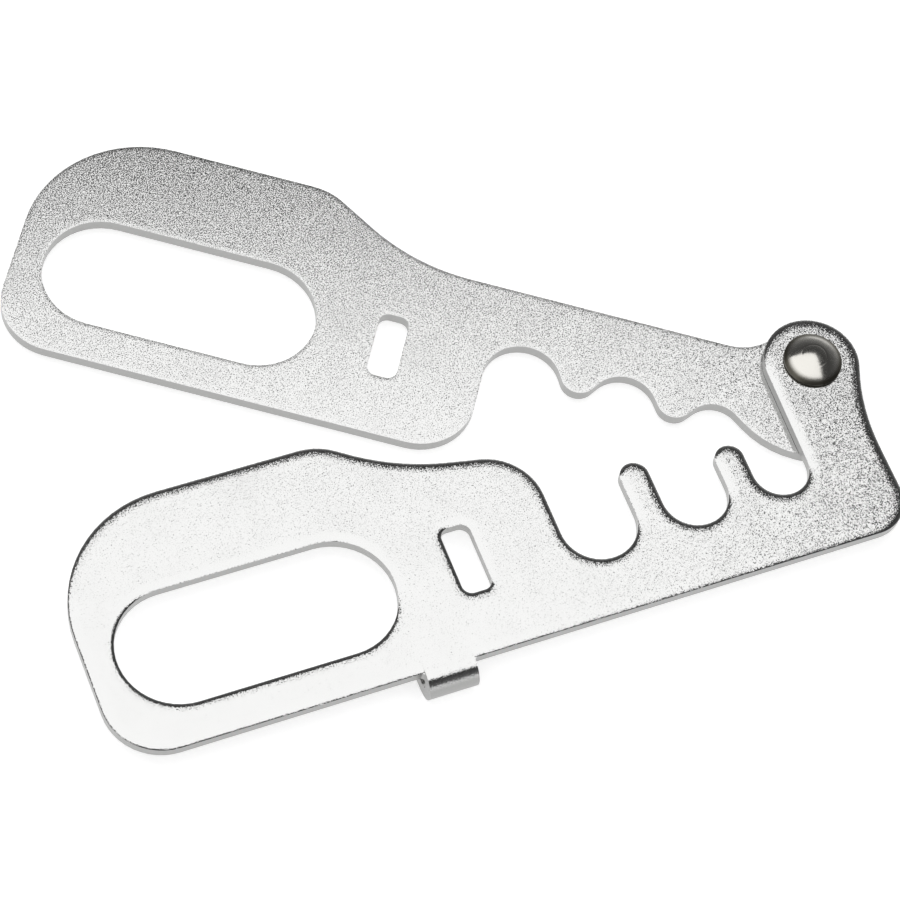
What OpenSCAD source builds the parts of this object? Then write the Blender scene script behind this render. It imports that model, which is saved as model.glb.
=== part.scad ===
// Cable trap of a laptop lock kit: two stamped steel plates on one rivet.  The plates close like
// scissors round the peripheral cables, and the lock's head is then turned through both lock slots.
// Millimetres.  The origin is the centre of the front plate's lock slot on its outer face, +X runs
// along the plates' straight edge towards the rivet and +Z leaves the outer face.

/* [Sheet] */
// Thickness of both plates
plate_t = 1.2; // [1:0.05:1.6]
// Running gap between the plates, and under the rivet's closed head
plate_gap = 0.05; // [0.03:0.01:0.15]
// Width of the margin that rolls over round the front plate's outer face
edge_roll_w = 1; // [0.4:0.05:1.2]
// Depth of that margin at the edge
edge_roll_h = 0.16; // [0.08:0.01:0.25]
// Width of the margin that rolls over into the eye and the lock slot
hole_roll_w = 0.95; // [0.4:0.05:1.2]
// Depth of that margin at the hole's edge
hole_roll_h = 0.13; // [0.05:0.01:0.2]

/* [Plate outline, measured from the rivet] */
// Reach of the plates from the rivet to the end with the cable eye
reach = 76; // [74:0.1:86]
// Height of the front plate's top edge over the rivet's centre
top_y = 5.85; // [5:0.05:8]
// Drop from the rivet's centre to the front plate's straight bottom edge
bottom_drop = 18.85; // [18.5:0.05:21]
// How far the rear plate's long edges stand outside the front plate's
rear_edge_out = 0.12; // [0:0.02:0.2]
// Radius of the lower corners
corner_r = 5.5; // [3:0.1:6]
// Radius of the large upper corner at the eye end
crown_r = 11.7; // [8:0.05:13]
// Radius where the top edge turns down to the waist
brow_r = 5.9; // [4:0.1:8]

/* [Lock slot] */
// Slot width, for the head of a security lock
slot_w = 2.9; // [2.6:0.1:4]
// Slot height
slot_h = 6.9; // [6.5:0.1:8]
// Corner radius of the slot
slot_corner_r = 0.95; // [0.5:0.05:1.25]
// Distance from the slot's centre to the rivet along the plate
slot_to_rivet = 39.6; // [37:0.2:41]
// Drop from the rivet's centre to the slot's centre
slot_drop = 9.35; // [9:0.05:10.5]

/* [Cable eye] */
// Radius of the eye's round ends
eye_r = 5.75; // [4:0.05:7]
// Distance between the centres of the eye's ends
eye_run = 15; // [8:0.1:16]
// Metal left between the eye and the end of the plate
eye_rim = 2.8; // [2:0.05:4]
// Drop from the rivet's centre to the eye's centre line
eye_drop = 9.4; // [9:0.1:11]

/* [Cable notches] */
// Radius of the wide notch, next to the lock slot
notch_wide_r = 3.76; // [3:0.01:4.2]
// Radius of the middle notch
notch_mid_r = 3.27; // [2.6:0.01:3.7]
// Radius of the narrow notch, next to the rivet
notch_narrow_r = 2.8; // [2.2:0.01:3.2]
// Drop from the rivet's centre to the centres of the front plate's notches
notch_drop = 9.65; // [9:0.05:11]
// Distance from the rivet's centre to the wall of the narrow notch
neck_x = 4.92; // [4.8:0.02:6]
// Half the width of the two fingers, and the radius of their tips
finger_r = 1.42; // [1:0.02:1.8]
// Rise of the longer finger's tip centre over the notch centres
finger_rise = 3.45; // [2:0.05:5]
// How much shorter the other finger is
finger_step = 1.05; // [0:0.05:2]
// Radius of the shoulder beside the wide notch
shoulder_r = 5.35; // [3:0.05:6]
// Height of the shoulder's top over the rivet's centre
shoulder_y = 0; // [-1:0.05:1]
// Radius of the hollow between the shoulder and the top edge
waist_r = 22.9; // [15:0.1:28]
// Distance along the plate from the shoulder's centre to the hollow's centre
waist_shift = 2.5; // [0:0.1:5]
// Straight run between the shoulder and the hollow
waist_run = 3; // [0.5:0.1:6]
// Straight run between the hollow and the top edge's corner
brow_run = 0.5; // [0.2:0.1:4]

/* [Ear round the rivet] */
// Radius of the front plate's ear
ear_r = 4.65; // [4.2:0.05:6]
// Distance from the rivet's centre to the front plate's end wall
heel_x = 2.45; // [1.5:0.05:4]
// Radius of the lower corner under the ear
heel_r = 3.8; // [3:0.1:6]
// Radius of the hollow in the end wall below the ear
flank_r = 21; // [12:0.5:30]
// Straight run between the ear and the hollow
flank_run = 0.3; // [0.1:0.1:4]

/* [Rear plate's jaw] */
// Drop from the rivet's centre to the centres of the arches
arch_drop = 9.4; // [8.8:0.05:10]
// Rise of the teeth's centres over the arch centres
tooth_rise = 1.95; // [1.5:0.05:3]
// How much larger the teeth's radius is than the fingers'
tooth_extra_r = 0.3; // [0:0.01:0.5]
// Height of the jaw's back edge over the rivet's centre
back_y = 0.15; // [-2:0.05:1]
// Radius of the hollow in the back edge over the lock slot
slope_r = 20.4; // [14:0.1:26]
// Distance along the plate from the jaw's wall to the hollow's centre
slope_shift = 3.3; // [1:0.1:6]
// Straight run between the hollow and the top edge's corner
slope_run = 3.9; // [0.5:0.1:6]
// Radius of the boss round the rivet
boss_r = 4.3; // [3.9:0.05:5]
// Radius of the fillet between the boss and the back edge
boss_fillet_r = 4.9; // [3:0.1:8]
// Straight run between the boss and its fillet
boss_run = 2.2; // [0.5:0.1:4]
// Radius of the tail that swings behind the ear
tail_r = 9.05; // [8.6:0.05:9.6]
// Distance along the plate from the rivet's centre to the tail's centre
tail_x = 0.3; // [0:0.05:0.6]
// Drop from the rivet's centre to the tail's centre
tail_drop = 0.6; // [0.3:0.05:0.9]
// Radius of the tail's tip
tail_tip_r = 1.5; // [0.8:0.1:2]
// Distance along the plate from the rivet's centre to the tip's centre
tail_tip_x = 0.9; // [0.7:0.05:1.4]

/* [Hook] */
// Width of the folded hook
hook_w = 4.8; // [3:0.1:8]
// Distance from the hook's middle to the rivet along the plate
hook_to_rivet = 45; // [43:0.2:60]
// Play of the rear plate over the hook's lip
hook_play = 0.05; // [0.03:0.01:0.2]
// Length of the lip past the fold
lip_len = 1.8; // [1:0.1:4]
// Radius of the fillets between the hook's root and the plate's edge
root_fillet_r = 0.35; // [0.1:0.05:0.8]

/* [Rivet] */
// Shank diameter
shank_d = 3.2; // [2.4:0.1:4]
// Radial running clearance of the rear plate on the shank
shank_play = 0.05; // [0.02:0.01:0.1]
// Diameter of the domed head
head_d = 5.65; // [4.8:0.05:7]
// Height of the domed head
head_h = 1.2; // [0.8:0.05:2]
// Height of the head's upright rim
head_rim_h = 0.3; // [0.15:0.05:0.8]
// How far the foot of the rim draws in, and its height
head_foot = 0.12; // [0.05:0.01:0.14]
// Radius of the ring pressed into the head
ring_r = 1.2; // [0.8:0.05:1.6]
// Width of the pressed ring
ring_w = 0.3; // [0.1:0.02:0.4]
// Depth of the pressed ring
ring_depth = 0.015; // [0.01:0.005:0.1]
// Diameter of the closed head behind the rear plate
tail_head_d = 5.2; // [4.6:0.1:6.5]
// Height of the closed head
tail_head_h = 0.75; // [0.4:0.05:1.2]

/* [Pose] */
// Angle by which the rear plate is swung open
open_angle = 34; // [0:0.2:60]

/* [Hidden] */
// Greatest turn, in degrees, and greatest chord between two points of an outline's arc
arc_step = 8;
chord_max = 1.2;
// Steps of a rolled margin, of the rivet's dome and of the ring in it
roll_steps = 6;
dome_steps = 6;
ring_steps = 6;
// How far a cutter runs past the face it opens
past = 0.5;
// Faces of the round parts
round_fn = 96;

bottom_y = -bottom_drop;
rear_bottom_y = bottom_y - rear_edge_out;
rear_top_y = top_y + rear_edge_out;
rear_top_z = -plate_t - plate_gap;
rear_under_z = rear_top_z - plate_t;
rivet_at = [slot_to_rivet, slot_drop, 0];
// The notches from the rivet outwards, and the fingers between them, share upright walls
notch_x = [-neck_x - notch_narrow_r,
           -neck_x - 2 * notch_narrow_r - 2 * finger_r - notch_mid_r,
           -neck_x - 2 * notch_narrow_r - 4 * finger_r - 2 * notch_mid_r - notch_wide_r];
finger_x = [notch_x[0] - notch_narrow_r - finger_r, notch_x[1] - notch_mid_r - finger_r];
wall_x = notch_x[2] - notch_wide_r;
tooth_r = finger_r + tooth_extra_r;
tooth_y = -arch_drop + tooth_rise;
// The hook is the sheet folded by half a turn round the rear plate's edge
hook_out_r = plate_t + (plate_gap + plate_t + hook_play) / 2;

// ---- Outlines -------------------------------------------------------------------------------
// An outline is a closed chain of arcs [x, y, r] in anticlockwise order, with r > 0 for an outer
// corner and r < 0 for an inner one, joined by their common tangents.

// Angle of the outward normal of the tangent from one arc to the next
function tangent_normal(a, b) = let (d = [b.x - a.x, b.y - a.y])
    atan2(d.y, d.x) - acos(max(-1, min(1, (a.z - b.z) / norm(d))));
function turn(from, to) = (to - from) - 360 * floor((to - from) / 360);
// Points of one arc between two normals, drawn in from the edge by the inset
function arc_points(arc, from, to, inset) =
    let (sweep = arc.z > 0 ? turn(from, to) : -turn(to, from),
         length = abs(arc.z * sweep) * PI / 180,
         steps = max(1, ceil(max(abs(sweep) / arc_step, length / chord_max))))
    [for (k = [0:steps]) let (a = from + sweep * k / steps)
        [arc.x + (arc.z - inset) * cos(a), arc.y + (arc.z - inset) * sin(a)]];
function outline(chain, inset = 0) = let (n = len(chain))
    [for (i = [0:n - 1])
        let (from = tangent_normal(chain[(i + n - 1) % n], chain[i]),
             to = tangent_normal(chain[i], chain[(i + 1) % n]))
        each arc_points(chain[i], from, to, inset)];

// Distance between the centres of an outer and an inner arc with a straight run between them
function centre_gap(r1, r2, run) = norm([r1 + r2, run]);
// The other leg of a right triangle with hypotenuse d
function leg(d, x) = sqrt(max(d * d - x * x, 0));
// Centre and radius of the corner that ends a top edge and runs on into a hollow
function brow(hollow, edge_y, run) = let (y = edge_y - brow_r)
    [hollow.x - leg(centre_gap(brow_r, -hollow.z, run), hollow.y - y), y, brow_r];

shoulder = [wall_x - shoulder_r, shoulder_y - shoulder_r, shoulder_r];
waist = [shoulder.x + waist_shift,
         shoulder.y + leg(centre_gap(shoulder_r, waist_r, waist_run), waist_shift), -waist_r];
front_chain = [
    [-reach + corner_r, bottom_y + corner_r, corner_r],
    [heel_x - heel_r, bottom_y + heel_r, heel_r],
    [heel_x + flank_r, -leg(centre_gap(ear_r, flank_r, flank_run), heel_x + flank_r), -flank_r],
    [0, 0, ear_r],
    [notch_x[0], -notch_drop, -notch_narrow_r],
    [finger_x[0], -notch_drop + finger_rise - finger_step, finger_r],
    [notch_x[1], -notch_drop, -notch_mid_r],
    [finger_x[1], -notch_drop + finger_rise, finger_r],
    [notch_x[2], -notch_drop, -notch_wide_r],
    shoulder,
    waist,
    brow(waist, top_y, brow_run),
    [-reach + crown_r, top_y - crown_r, crown_r]];

boss_fillet_y = back_y + boss_fillet_r;
slope = [wall_x - slope_shift, back_y + slope_r, -slope_r];
rear_chain = [
    [-reach + corner_r, rear_bottom_y + corner_r, corner_r],
    [wall_x - corner_r, rear_bottom_y + corner_r, corner_r],
    [notch_x[2], -arch_drop, -notch_wide_r],
    [finger_x[1], tooth_y, tooth_r],
    [notch_x[1], -arch_drop, -notch_mid_r],
    [finger_x[0], tooth_y, tooth_r],
    [notch_x[0], -arch_drop, -notch_narrow_r],
    [tail_x, -tail_drop, tail_r],
    [tail_tip_x, -tail_drop - tail_r + tail_tip_r, tail_tip_r],
    [0, 0, boss_r],
    [-leg(centre_gap(boss_r, boss_fillet_r, boss_run), boss_fillet_y), boss_fillet_y, -boss_fillet_r],
    slope,
    brow(slope, rear_top_y, slope_run),
    [-reach + crown_r, rear_top_y - crown_r, crown_r]];

eye_x = -reach + eye_rim + eye_r;
eye_chain = [[eye_x, -eye_drop, eye_r], [eye_x + eye_run, -eye_drop, eye_r]];
slot_inner = [slot_w / 2 - slot_corner_r, slot_h / 2 - slot_corner_r];
slot_chain = [for (s = [[-1, -1], [1, -1], [1, 1], [-1, 1]])
    [-slot_to_rivet + s.x * slot_inner.x, -slot_drop + s.y * slot_inner.y, slot_corner_r]];

// ---- Solids ---------------------------------------------------------------------------------
// A plate's blank with its eye, its lock slot and its hole for the rivet
module blank(chain, hole_r) {
    linear_extrude(plate_t)
    difference() {
        polygon(outline(chain));
        polygon(outline(eye_chain));
        polygon(outline(slot_chain));
        circle(r = hole_r, $fn = round_fn);
    }
}

// Inset from the edge and z of each step of a rolled margin, from the wall up to the face: a
// quartic that leaves the face gently, in steps of equal slope
function roll(w, h) = [for (k = [0:roll_steps]) let (u = pow(1 - k / roll_steps, 1 / 3))
    [w * (1 - u), -h * pow(u, 4)]];
// Section of the margin's cutter: the roll run on past the wall and the face, closed outside them
function roll_cut(w, h) =
    let (curve = roll(w, h),
         first = curve[0] + (curve[0] - curve[1]) / 2,
         last = curve[roll_steps] + (curve[roll_steps] - curve[roll_steps - 1]) / 4)
    concat([[-past, past], [-past, first.y], first], curve, [last, [last.x, past]]);

// Cutter of the rolled margin along a closed outline, with side 1 where the metal lies inside the
// outline and -1 round a hole
module edge_cutter(chain, side, w, h) {
    rings = [for (s = roll_cut(w, h)) [for (p = outline(chain, side * s.x)) [p.x, p.y, s.y]]];
    n = len(rings[0]);
    m = len(rings);
    quads = [for (k = [0:m - 1], i = [0:n - 1])
        let (j = (i + 1) % n, next = (k + 1) % m)
        [k * n + i, k * n + j, next * n + j, next * n + i]];
    triangles = [for (q = quads) each [[q[0], q[1], q[2]], [q[0], q[2], q[3]]]];
    polyhedron([for (ring = rings) each ring],
               side > 0 ? triangles : [for (t = triangles) [t[2], t[1], t[0]]]);
}

// Fillets at both sides of the hook's root, under the plate's rolled margin
module root_fillets() {
    r = root_fillet_r;
    for (side = [0, 1])
        mirror([side, 0, 0])
        translate([hook_w / 2, 0, -plate_t])
        linear_extrude(plate_t - edge_roll_h)
        difference() {
            translate([-r, -r]) square(2 * r);
            translate([r, -r]) circle(r = r, $fn = round_fn / 4);
        }
}

// Root, half-turn fold and lip of the sheet, from the front plate's bottom edge
module hook() {
    root = edge_roll_w + past;
    translate([-hook_to_rivet, bottom_y, 0]) {
        translate([-hook_w / 2, 0, -plate_t]) cube([hook_w, root, plate_t]);
        translate([0, 0, -hook_out_r])
            rotate([0, -90, 180]) rotate_extrude(angle = 180, $fn = round_fn)
                translate([hook_out_r - plate_t, -hook_w / 2]) square([plate_t, hook_w]);
        translate([-hook_w / 2, 0, -2 * hook_out_r]) cube([hook_w, lip_len, plate_t]);
        root_fillets();
    }
}

module front_plate() {
    color([0.80, 0.80, 0.79])
    translate(rivet_at) {
        difference() {
            translate([0, 0, -plate_t]) blank(front_chain, shank_d / 2);
            edge_cutter(front_chain, 1, edge_roll_w, edge_roll_h);
            edge_cutter(eye_chain, -1, hole_roll_w, hole_roll_h);
            edge_cutter(slot_chain, -1, hole_roll_w, hole_roll_h);
        }
        hook();
    }
}

module rear_plate() {
    color([0.72, 0.72, 0.71])
    translate(rivet_at)
    rotate([0, 0, -open_angle])
    translate([0, 0, rear_under_z])
    blank(rear_chain, shank_d / 2 + shank_play);
}

// Height of the domed head at a radius: a spherical cap with a ring pressed into it
function dome_z(r) =
    let (rise = head_h - head_rim_h,
         sphere_r = (head_d * head_d / 4 + rise * rise) / (2 * rise),
         off_ring = min(1, abs(r - ring_r) / (ring_w / 2)))
    head_h - sphere_r + leg(sphere_r, r) - ring_depth * (1 + cos(180 * off_ring)) / 2;

module pivot_rivet() {
    head_r = head_d / 2;
    ring_out = ring_r + ring_w / 2;
    ring_in = ring_r - ring_w / 2;
    dome_radii = concat([for (k = [0:dome_steps - 1]) head_r + (ring_out - head_r) * k / dome_steps],
                        [for (k = [0:ring_steps - 1]) ring_out + (ring_in - ring_out) * k / ring_steps],
                        [for (k = [0:dome_steps]) ring_in * (1 - k / dome_steps)]);
    closed_z = rear_under_z - plate_gap;
    color([0.70, 0.69, 0.66])
    translate(rivet_at)
    rotate_extrude($fn = round_fn)
    polygon(concat(
        [for (k = [0:dome_steps]) let (a = 90 * k / dome_steps)
            [tail_head_d / 2 * sin(a), closed_z - tail_head_h * (0.4 + 0.6 * cos(a))]],
        [[tail_head_d / 2, closed_z], [shank_d / 2, closed_z], [shank_d / 2, 0]],
        [[head_r - head_foot, 0], [head_r, head_foot]],
        [for (r = dome_radii) [r, dome_z(r)]]));
}

front_plate();
rear_plate();
pivot_rivet();
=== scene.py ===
"""Studio view of a laptop cable trap: two satin nickel plates that swing on one rivet."""

import math

import bmesh
import bpy
from mathutils import Euler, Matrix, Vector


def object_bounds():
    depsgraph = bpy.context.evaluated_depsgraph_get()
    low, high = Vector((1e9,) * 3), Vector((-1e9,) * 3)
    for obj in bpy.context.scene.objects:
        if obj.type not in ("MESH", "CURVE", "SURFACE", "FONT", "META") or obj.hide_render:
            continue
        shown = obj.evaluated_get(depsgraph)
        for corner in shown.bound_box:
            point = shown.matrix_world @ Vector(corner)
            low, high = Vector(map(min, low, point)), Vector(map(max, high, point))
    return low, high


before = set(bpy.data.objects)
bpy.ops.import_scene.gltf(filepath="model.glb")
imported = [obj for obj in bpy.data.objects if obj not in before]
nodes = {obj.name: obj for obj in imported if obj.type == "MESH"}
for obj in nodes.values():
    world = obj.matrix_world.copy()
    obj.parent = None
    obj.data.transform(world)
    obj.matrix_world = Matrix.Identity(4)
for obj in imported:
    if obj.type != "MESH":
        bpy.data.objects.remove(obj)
cad_low, cad_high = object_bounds()
scene = bpy.context.scene

MM = 0.001
WHITE = (1.0, 1.0, 1.0, 1.0)

# ---- Camera --------------------------------------------------------------------------------
CAMERA_PLACE = (-0.08611, -0.11853, 0.27729)
CAMERA_TURN = (28.6985, -7.2031, -21.5425)
CAMERA_LENS = 137.28
CAMERA_SENSOR = 36.0
CAMERA_CLIP = (0.01, 100.0)

# ---- Studio: a light panel under a dark ceiling, over a white floor with white all round ---
# The sheets' corners are (across, along) in the studio's own axes, which are turned with the
# camera, so that "along" runs away from it.
STUDIO_TURN = -21.54
FLOOR_HALF = 20.0
FLOOR_WHITE = (0.80, 0.80, 0.80, 1.0)
FLOOR_GLOW = 0.65
PANEL = ((-0.74, -0.47), (0.60, -0.47), (0.32, 0.68), (-1.25, 0.68))
PANEL_HEIGHT = 0.99
PANEL_GLOW = 1.5
CEILING = ((-6.0, -3.0), (9.0, -3.0), (9.0, 9.0), (-6.0, 9.0))
CEILING_HEIGHT = 1.0
CEILING_FADE = (1.0, 6.0)         # over these distances from the middle the ceiling's glow goes
CEILING_GLOW = (0.06, 0.40)       # from the first of these levels to the second
LIT_SIDE = (-0.707, -0.707, 0.0)  # towards this side the glow is raised over LIT_FADE
LIT_FADE = (0.6, 1.2)
LIT_GLOW = 0.44
AMBIENT = 0.20                    # the world's level for rays that only light the object

# ---- Finishes, and painted shade on steep parts --------------------------------------------
NICKEL = (0.62, 0.62, 0.615)
RIVET_STEEL = (0.60, 0.585, 0.55)
FLAT_LEVEL = 0.9999               # a face is flat when its normal's z is over this
GRAIN_NOISE = {"Detail": 1.0, "Roughness": 0.5}
DRIFT_NOISE = {"Detail": 2.0, "Roughness": 0.5}
DRIFT_SIZE = 4 * MM
DRIFT_SPAN = (0.3, 0.7)           # the part of the noise's range that the drift uses
DRIFT = 0.03                      # how far the roughness drifts each way
MARGIN_LEAN = 0.10                # how far a soft margin leans, as a share of a full round
MARGIN_SAMPLES = 4
# A steep part's own colour and roughness start where the normal's z falls below the second level,
# and are full at the first.
# Plate walls and the hook's bend: a rougher sheared finish, and a darker colour that is partly
# painted shade.
SHEARED_WALLS_AND_SHADE = {"levels": (0.4, 0.8), "colour": (0.37, 0.37, 0.365), "roughness": 0.3}
# Rivet head: its steep outer rim turns near-black, which is painted shade and not a finish of the
# steel.
RIM_PAINTED_SHADE = {"levels": (0.84, 0.905), "colour": (0.10, 0.094, 0.078), "roughness": 0.3}

# ---- Smooth shading of the rounds ----------------------------------------------------------
MERGE_DISTANCE = 0.0005 * MM
SHARP_ANGLE = 40.0                # an edge that turns by more than this stays sharp

# The inputs for a Mix node's two values, and the output for its result, by kind
MIX_SOCKETS = {"FLOAT": (2, 3, 0), "VECTOR": (4, 5, 1), "RGBA": (6, 7, 2)}


# ---- Nodes ---------------------------------------------------------------------------------
def new_material(name):
    """An empty node material, its node tree and its output node."""
    material = bpy.data.materials.new(name)
    material.use_nodes = True
    tree = material.node_tree
    tree.nodes.clear()
    return material, tree, tree.nodes.new("ShaderNodeOutputMaterial")


def add(tree, kind, inputs=None, **settings):
    """A node with its settings and its inputs, where an input is a value or another socket."""
    node = tree.nodes.new(kind)
    for key, value in settings.items():
        setattr(node, key, value)
    for key, value in (inputs or {}).items():
        socket = node.inputs[key]
        if isinstance(value, bpy.types.NodeSocket):
            tree.links.new(value, socket)
        else:
            socket.default_value = value
    return node


def blend(tree, kind, factor, a, b):
    """The output of a Mix node of one kind, which goes from a to b."""
    first, second, result = MIX_SOCKETS[kind]
    node = add(tree, "ShaderNodeMix", {0: factor, first: a, second: b}, data_type=kind)
    return node.outputs[result]


def math_of(tree, operation, *inputs):
    """The output of a Math node."""
    return add(tree, "ShaderNodeMath", dict(enumerate(inputs)), operation=operation).outputs[0]


def vector_of(tree, operation, *inputs):
    """The vector that a Vector Math node gives."""
    node = add(tree, "ShaderNodeVectorMath", dict(enumerate(inputs)), operation=operation)
    return node.outputs["Vector"]


def measure_of(tree, operation, *inputs):
    """The number that a Vector Math node gives."""
    node = add(tree, "ShaderNodeVectorMath", dict(enumerate(inputs)), operation=operation)
    return node.outputs["Value"]


def ramp(tree, value, span, levels, **settings):
    """The output of a Map Range node, which takes a span of the value to two levels."""
    inputs = {"Value": value, "From Min": span[0], "From Max": span[1],
              "To Min": levels[0], "To Max": levels[1]}
    return add(tree, "ShaderNodeMapRange", inputs, **settings).outputs["Result"]


def levelness(tree, normal):
    """The size of a normal's z: 1 on a level face and 0 on an upright one."""
    z = add(tree, "ShaderNodeSeparateXYZ", {0: normal}).outputs["Z"]
    return math_of(tree, "ABSOLUTE", z)


# ---- Plated steel --------------------------------------------------------------------------
def plated_metal(name, colour, roughness, grain, tilt, steep, soft_margin=0.0):
    """Metal whose fine grain leans the surface at random, by about a tenth of the tilt.

    Its roughness drifts over a few millimetres, and its steep parts get the steep colour and
    roughness, whose darker colour is painted shade.
    A soft margin leans the flat faces a little outwards over that distance from their edges.
    """
    material, tree, output = new_material(name)
    place = add(tree, "ShaderNodeTexCoord").outputs["Object"]
    surface = add(tree, "ShaderNodeNewGeometry").outputs

    # Flat faces keep their true normal, so that no smooth shading reaches them.
    level = surface["True Normal"]
    flat = math_of(tree, "GREATER_THAN", levelness(tree, level), FLAT_LEVEL)
    if soft_margin:
        leaning = add(tree, "ShaderNodeBevel", {"Radius": soft_margin}, samples=MARGIN_SAMPLES)
        level = blend(tree, "VECTOR", MARGIN_LEAN, level, leaning.outputs["Normal"])
    base = blend(tree, "VECTOR", flat, surface["Normal"], level)

    # Half a grain of shift keeps level faces off the planes where the noise is weakest.
    shifted = vector_of(tree, "ADD", place, (0.0, 0.0, grain / 2))
    fine = add(tree, "ShaderNodeTexNoise", {"Vector": shifted, "Scale": 1.0 / grain, **GRAIN_NOISE})
    lean = vector_of(tree, "MULTIPLY_ADD", fine.outputs["Color"], (tilt,) * 3, (-tilt / 2,) * 3)
    turned = add(tree, "ShaderNodeVectorTransform", {0: lean},
                 vector_type="VECTOR", convert_from="OBJECT", convert_to="WORLD").outputs[0]
    normal = vector_of(tree, "NORMALIZE", vector_of(tree, "ADD", base, turned))

    drift = add(tree, "ShaderNodeTexNoise",
                {"Vector": place, "Scale": 1.0 / DRIFT_SIZE, **DRIFT_NOISE}).outputs["Fac"]
    rough = ramp(tree, drift, DRIFT_SPAN, (roughness - DRIFT, roughness + DRIFT))
    # Steep parts blend to the steep colour and roughness. On the plates' walls this is a duller
    # finish with painted shade; on the rivet's rim it is painted shade.
    share = ramp(tree, levelness(tree, base), steep["levels"], (1.0, 0.0),
                 interpolation_type="SMOOTHSTEP")
    tint = blend(tree, "RGBA", share, (*colour, 1.0), (*steep["colour"], 1.0))
    rough = blend(tree, "FLOAT", share, rough, steep["roughness"])
    shader = add(tree, "ShaderNodeBsdfPrincipled",
                 {"Base Color": tint, "Metallic": 1.0, "Roughness": rough, "Normal": normal})
    tree.links.new(shader.outputs["BSDF"], output.inputs["Surface"])
    return material


def smooth_rounds():
    """Modifier tree that joins a node's triangles and shades its round surfaces smooth."""
    tree = bpy.data.node_groups.new("smooth_rounds", "GeometryNodeTree")
    tree.interface.new_socket("Geometry", in_out="INPUT", socket_type="NodeSocketGeometry")
    tree.interface.new_socket("Geometry", in_out="OUTPUT", socket_type="NodeSocketGeometry")
    start = tree.nodes.new("NodeGroupInput")
    end = tree.nodes.new("NodeGroupOutput")
    merged = add(tree, "GeometryNodeMergeByDistance",
                 {"Geometry": start.outputs[0], "Distance": MERGE_DISTANCE})
    faces = add(tree, "GeometryNodeSetShadeSmooth",
                {"Geometry": merged.outputs[0], "Shade Smooth": True}, domain="FACE")
    angle = add(tree, "GeometryNodeInputMeshEdgeAngle")
    sharp = add(tree, "FunctionNodeCompare",
                {0: angle.outputs["Unsigned Angle"], 1: math.radians(SHARP_ANGLE)},
                data_type="FLOAT", operation="GREATER_THAN")
    edges = add(tree, "GeometryNodeSetShadeSmooth",
                {"Geometry": faces.outputs[0], "Selection": sharp.outputs[0],
                 "Shade Smooth": False}, domain="EDGE")
    tree.links.new(edges.outputs[0], end.inputs[0])
    return tree


# ---- The plates and the rivet --------------------------------------------------------------
# The plates' steep walls are darkened partly with painted shade, and the rivet's steep rim wholly
# with painted shade.
front_finish = plated_metal("satin_nickel_front", NICKEL, roughness=0.12, grain=0.105 * MM,
                            tilt=0.34, steep=SHEARED_WALLS_AND_SHADE)
rear_finish = plated_metal("satin_nickel_rear", NICKEL, roughness=0.10, grain=0.105 * MM,
                           tilt=0.31, steep=SHEARED_WALLS_AND_SHADE, soft_margin=0.7 * MM)
rivet_finish = plated_metal("turned_rivet_steel", RIVET_STEEL, roughness=0.18, grain=0.6 * MM,
                            tilt=0.05, steep=RIM_PAINTED_SHADE)

rounds = smooth_rounds()
for name, finish, slot in (("front_plate", front_finish, "front_plate_steel"),
                           ("rear_plate", rear_finish, "rear_plate_steel"),
                           ("pivot_rivet", rivet_finish, "rivet_steel")):
    node = nodes[name]
    for material_slot in node.material_slots:
        material_slot.material = finish
    if not node.material_slots:
        node.data.materials.append(finish)
    node.modifiers.new("smooth_rounds", "NODES").node_group = rounds


# ---- Floor, ceiling, panel and world -------------------------------------------------------
def seen(tree):
    """1 for rays from the camera, and for those that metal or glass has mirrored or bent."""
    path = add(tree, "ShaderNodeLightPath").outputs
    direct = math_of(tree, "MAXIMUM", path["Is Camera Ray"], path["Is Glossy Ray"])
    return math_of(tree, "MAXIMUM", direct, path["Is Transmission Ray"])


def floor_finish():
    """Matt white that glows for the rays that see it, so that it shows as white."""
    material, tree, output = new_material("studio_floor")
    matt = add(tree, "ShaderNodeBsdfDiffuse", {"Color": FLOOR_WHITE})
    share = math_of(tree, "MULTIPLY", seen(tree), FLOOR_GLOW)
    glow = add(tree, "ShaderNodeEmission", {"Color": WHITE, "Strength": share})
    both = add(tree, "ShaderNodeAddShader", {0: matt.outputs[0], 1: glow.outputs[0]})
    tree.links.new(both.outputs[0], output.inputs["Surface"])
    return material


def ceiling_finish():
    """A dark glow that grows with distance, and more on the lit side."""
    material, tree, output = new_material("dark_ceiling")
    place = add(tree, "ShaderNodeTexCoord").outputs["Object"]
    far = ramp(tree, measure_of(tree, "LENGTH", place), CEILING_FADE, CEILING_GLOW)
    towards_lit = measure_of(tree, "DOT_PRODUCT", place, LIT_SIDE)
    lit = ramp(tree, towards_lit, LIT_FADE, (0.0, LIT_GLOW))
    strength = math_of(tree, "MAXIMUM", far, lit)
    glow = add(tree, "ShaderNodeEmission", {"Color": WHITE, "Strength": strength})
    tree.links.new(glow.outputs[0], output.inputs["Surface"])
    return material


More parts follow.
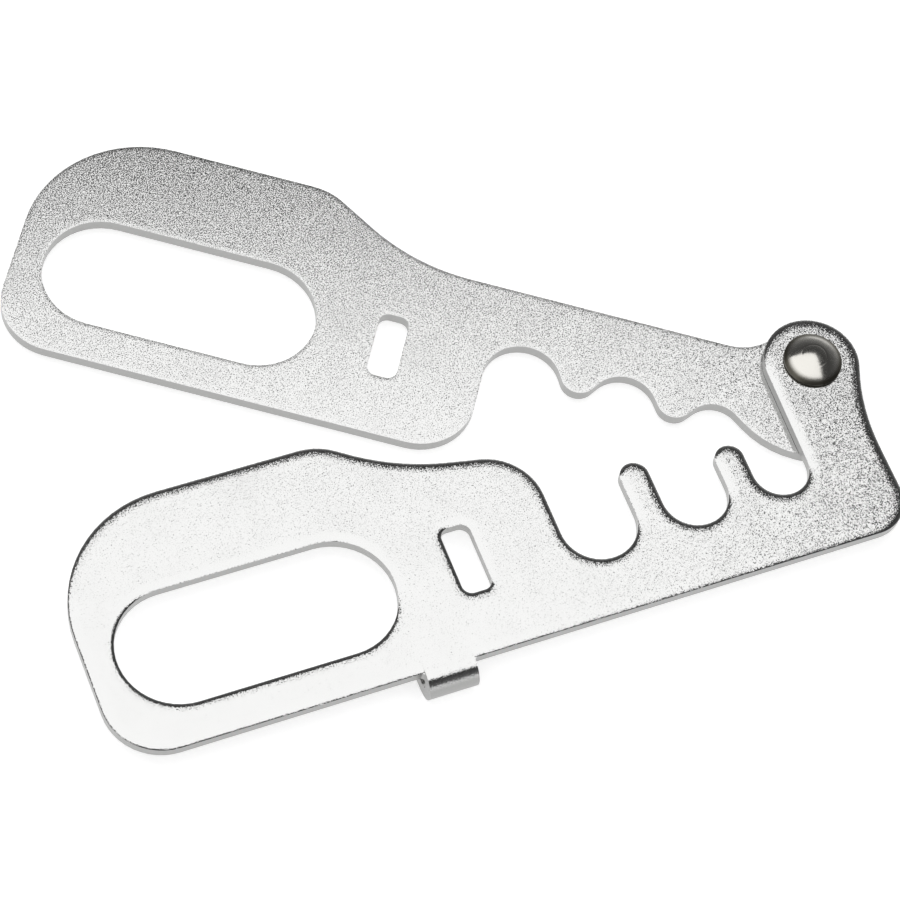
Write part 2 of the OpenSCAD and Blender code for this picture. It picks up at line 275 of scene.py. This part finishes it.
def panel_finish():
    """The even light of the panel."""
    material, tree, output = new_material("light_panel")
    glow = add(tree, "ShaderNodeEmission", {"Color": WHITE, "Strength": PANEL_GLOW})
    tree.links.new(glow.outputs[0], output.inputs["Surface"])
    return material


def flat_sheet(name, corners, height, material):
    """A level four-sided sheet of the studio, which isn't part of the object."""
    shape = bmesh.new()
    shape.faces.new([shape.verts.new((across, along, 0.0)) for across, along in corners])
    mesh = bpy.data.meshes.new(name)
    shape.to_mesh(mesh)
    shape.free()
    mesh.materials.append(material)
    sheet = bpy.data.objects.new(name, mesh)
    sheet.location.z = height
    sheet.rotation_euler.z = math.radians(STUDIO_TURN)
    scene.collection.objects.link(sheet)
    return sheet


flat_sheet("floor", ((-FLOOR_HALF, -FLOOR_HALF), (FLOOR_HALF, -FLOOR_HALF),
                     (FLOOR_HALF, FLOOR_HALF), (-FLOOR_HALF, FLOOR_HALF)),
           cad_low.z, floor_finish())

panel = flat_sheet("panel", PANEL, PANEL_HEIGHT, panel_finish())
panel.visible_camera = False

# The metal mirrors the ceiling, but the floor and the camera don't see it.
ceiling = flat_sheet("ceiling", CEILING, CEILING_HEIGHT, ceiling_finish())
ceiling.visible_camera = False
ceiling.visible_diffuse = False
ceiling.visible_shadow = False

world = bpy.data.worlds.new("studio")
scene.world = world
world.use_nodes = True
air = world.node_tree
air.nodes.clear()
brightness = ramp(air, seen(air), (0.0, 1.0), (AMBIENT, 1.0))
background = add(air, "ShaderNodeBackground", {"Color": WHITE, "Strength": brightness})
air.links.new(background.outputs[0], add(air, "ShaderNodeOutputWorld").inputs["Surface"])

# ---- Camera and view -----------------------------------------------------------------------
camera_data = bpy.data.cameras.new("camera")
camera_data.sensor_width = CAMERA_SENSOR
camera_data.lens = CAMERA_LENS
camera_data.clip_start, camera_data.clip_end = CAMERA_CLIP
camera = bpy.data.objects.new("camera", camera_data)
camera.location = CAMERA_PLACE
camera.rotation_euler = Euler([math.radians(turn) for turn in CAMERA_TURN])
scene.collection.objects.link(camera)
scene.camera = camera
scene.view_settings.view_transform = "Standard"
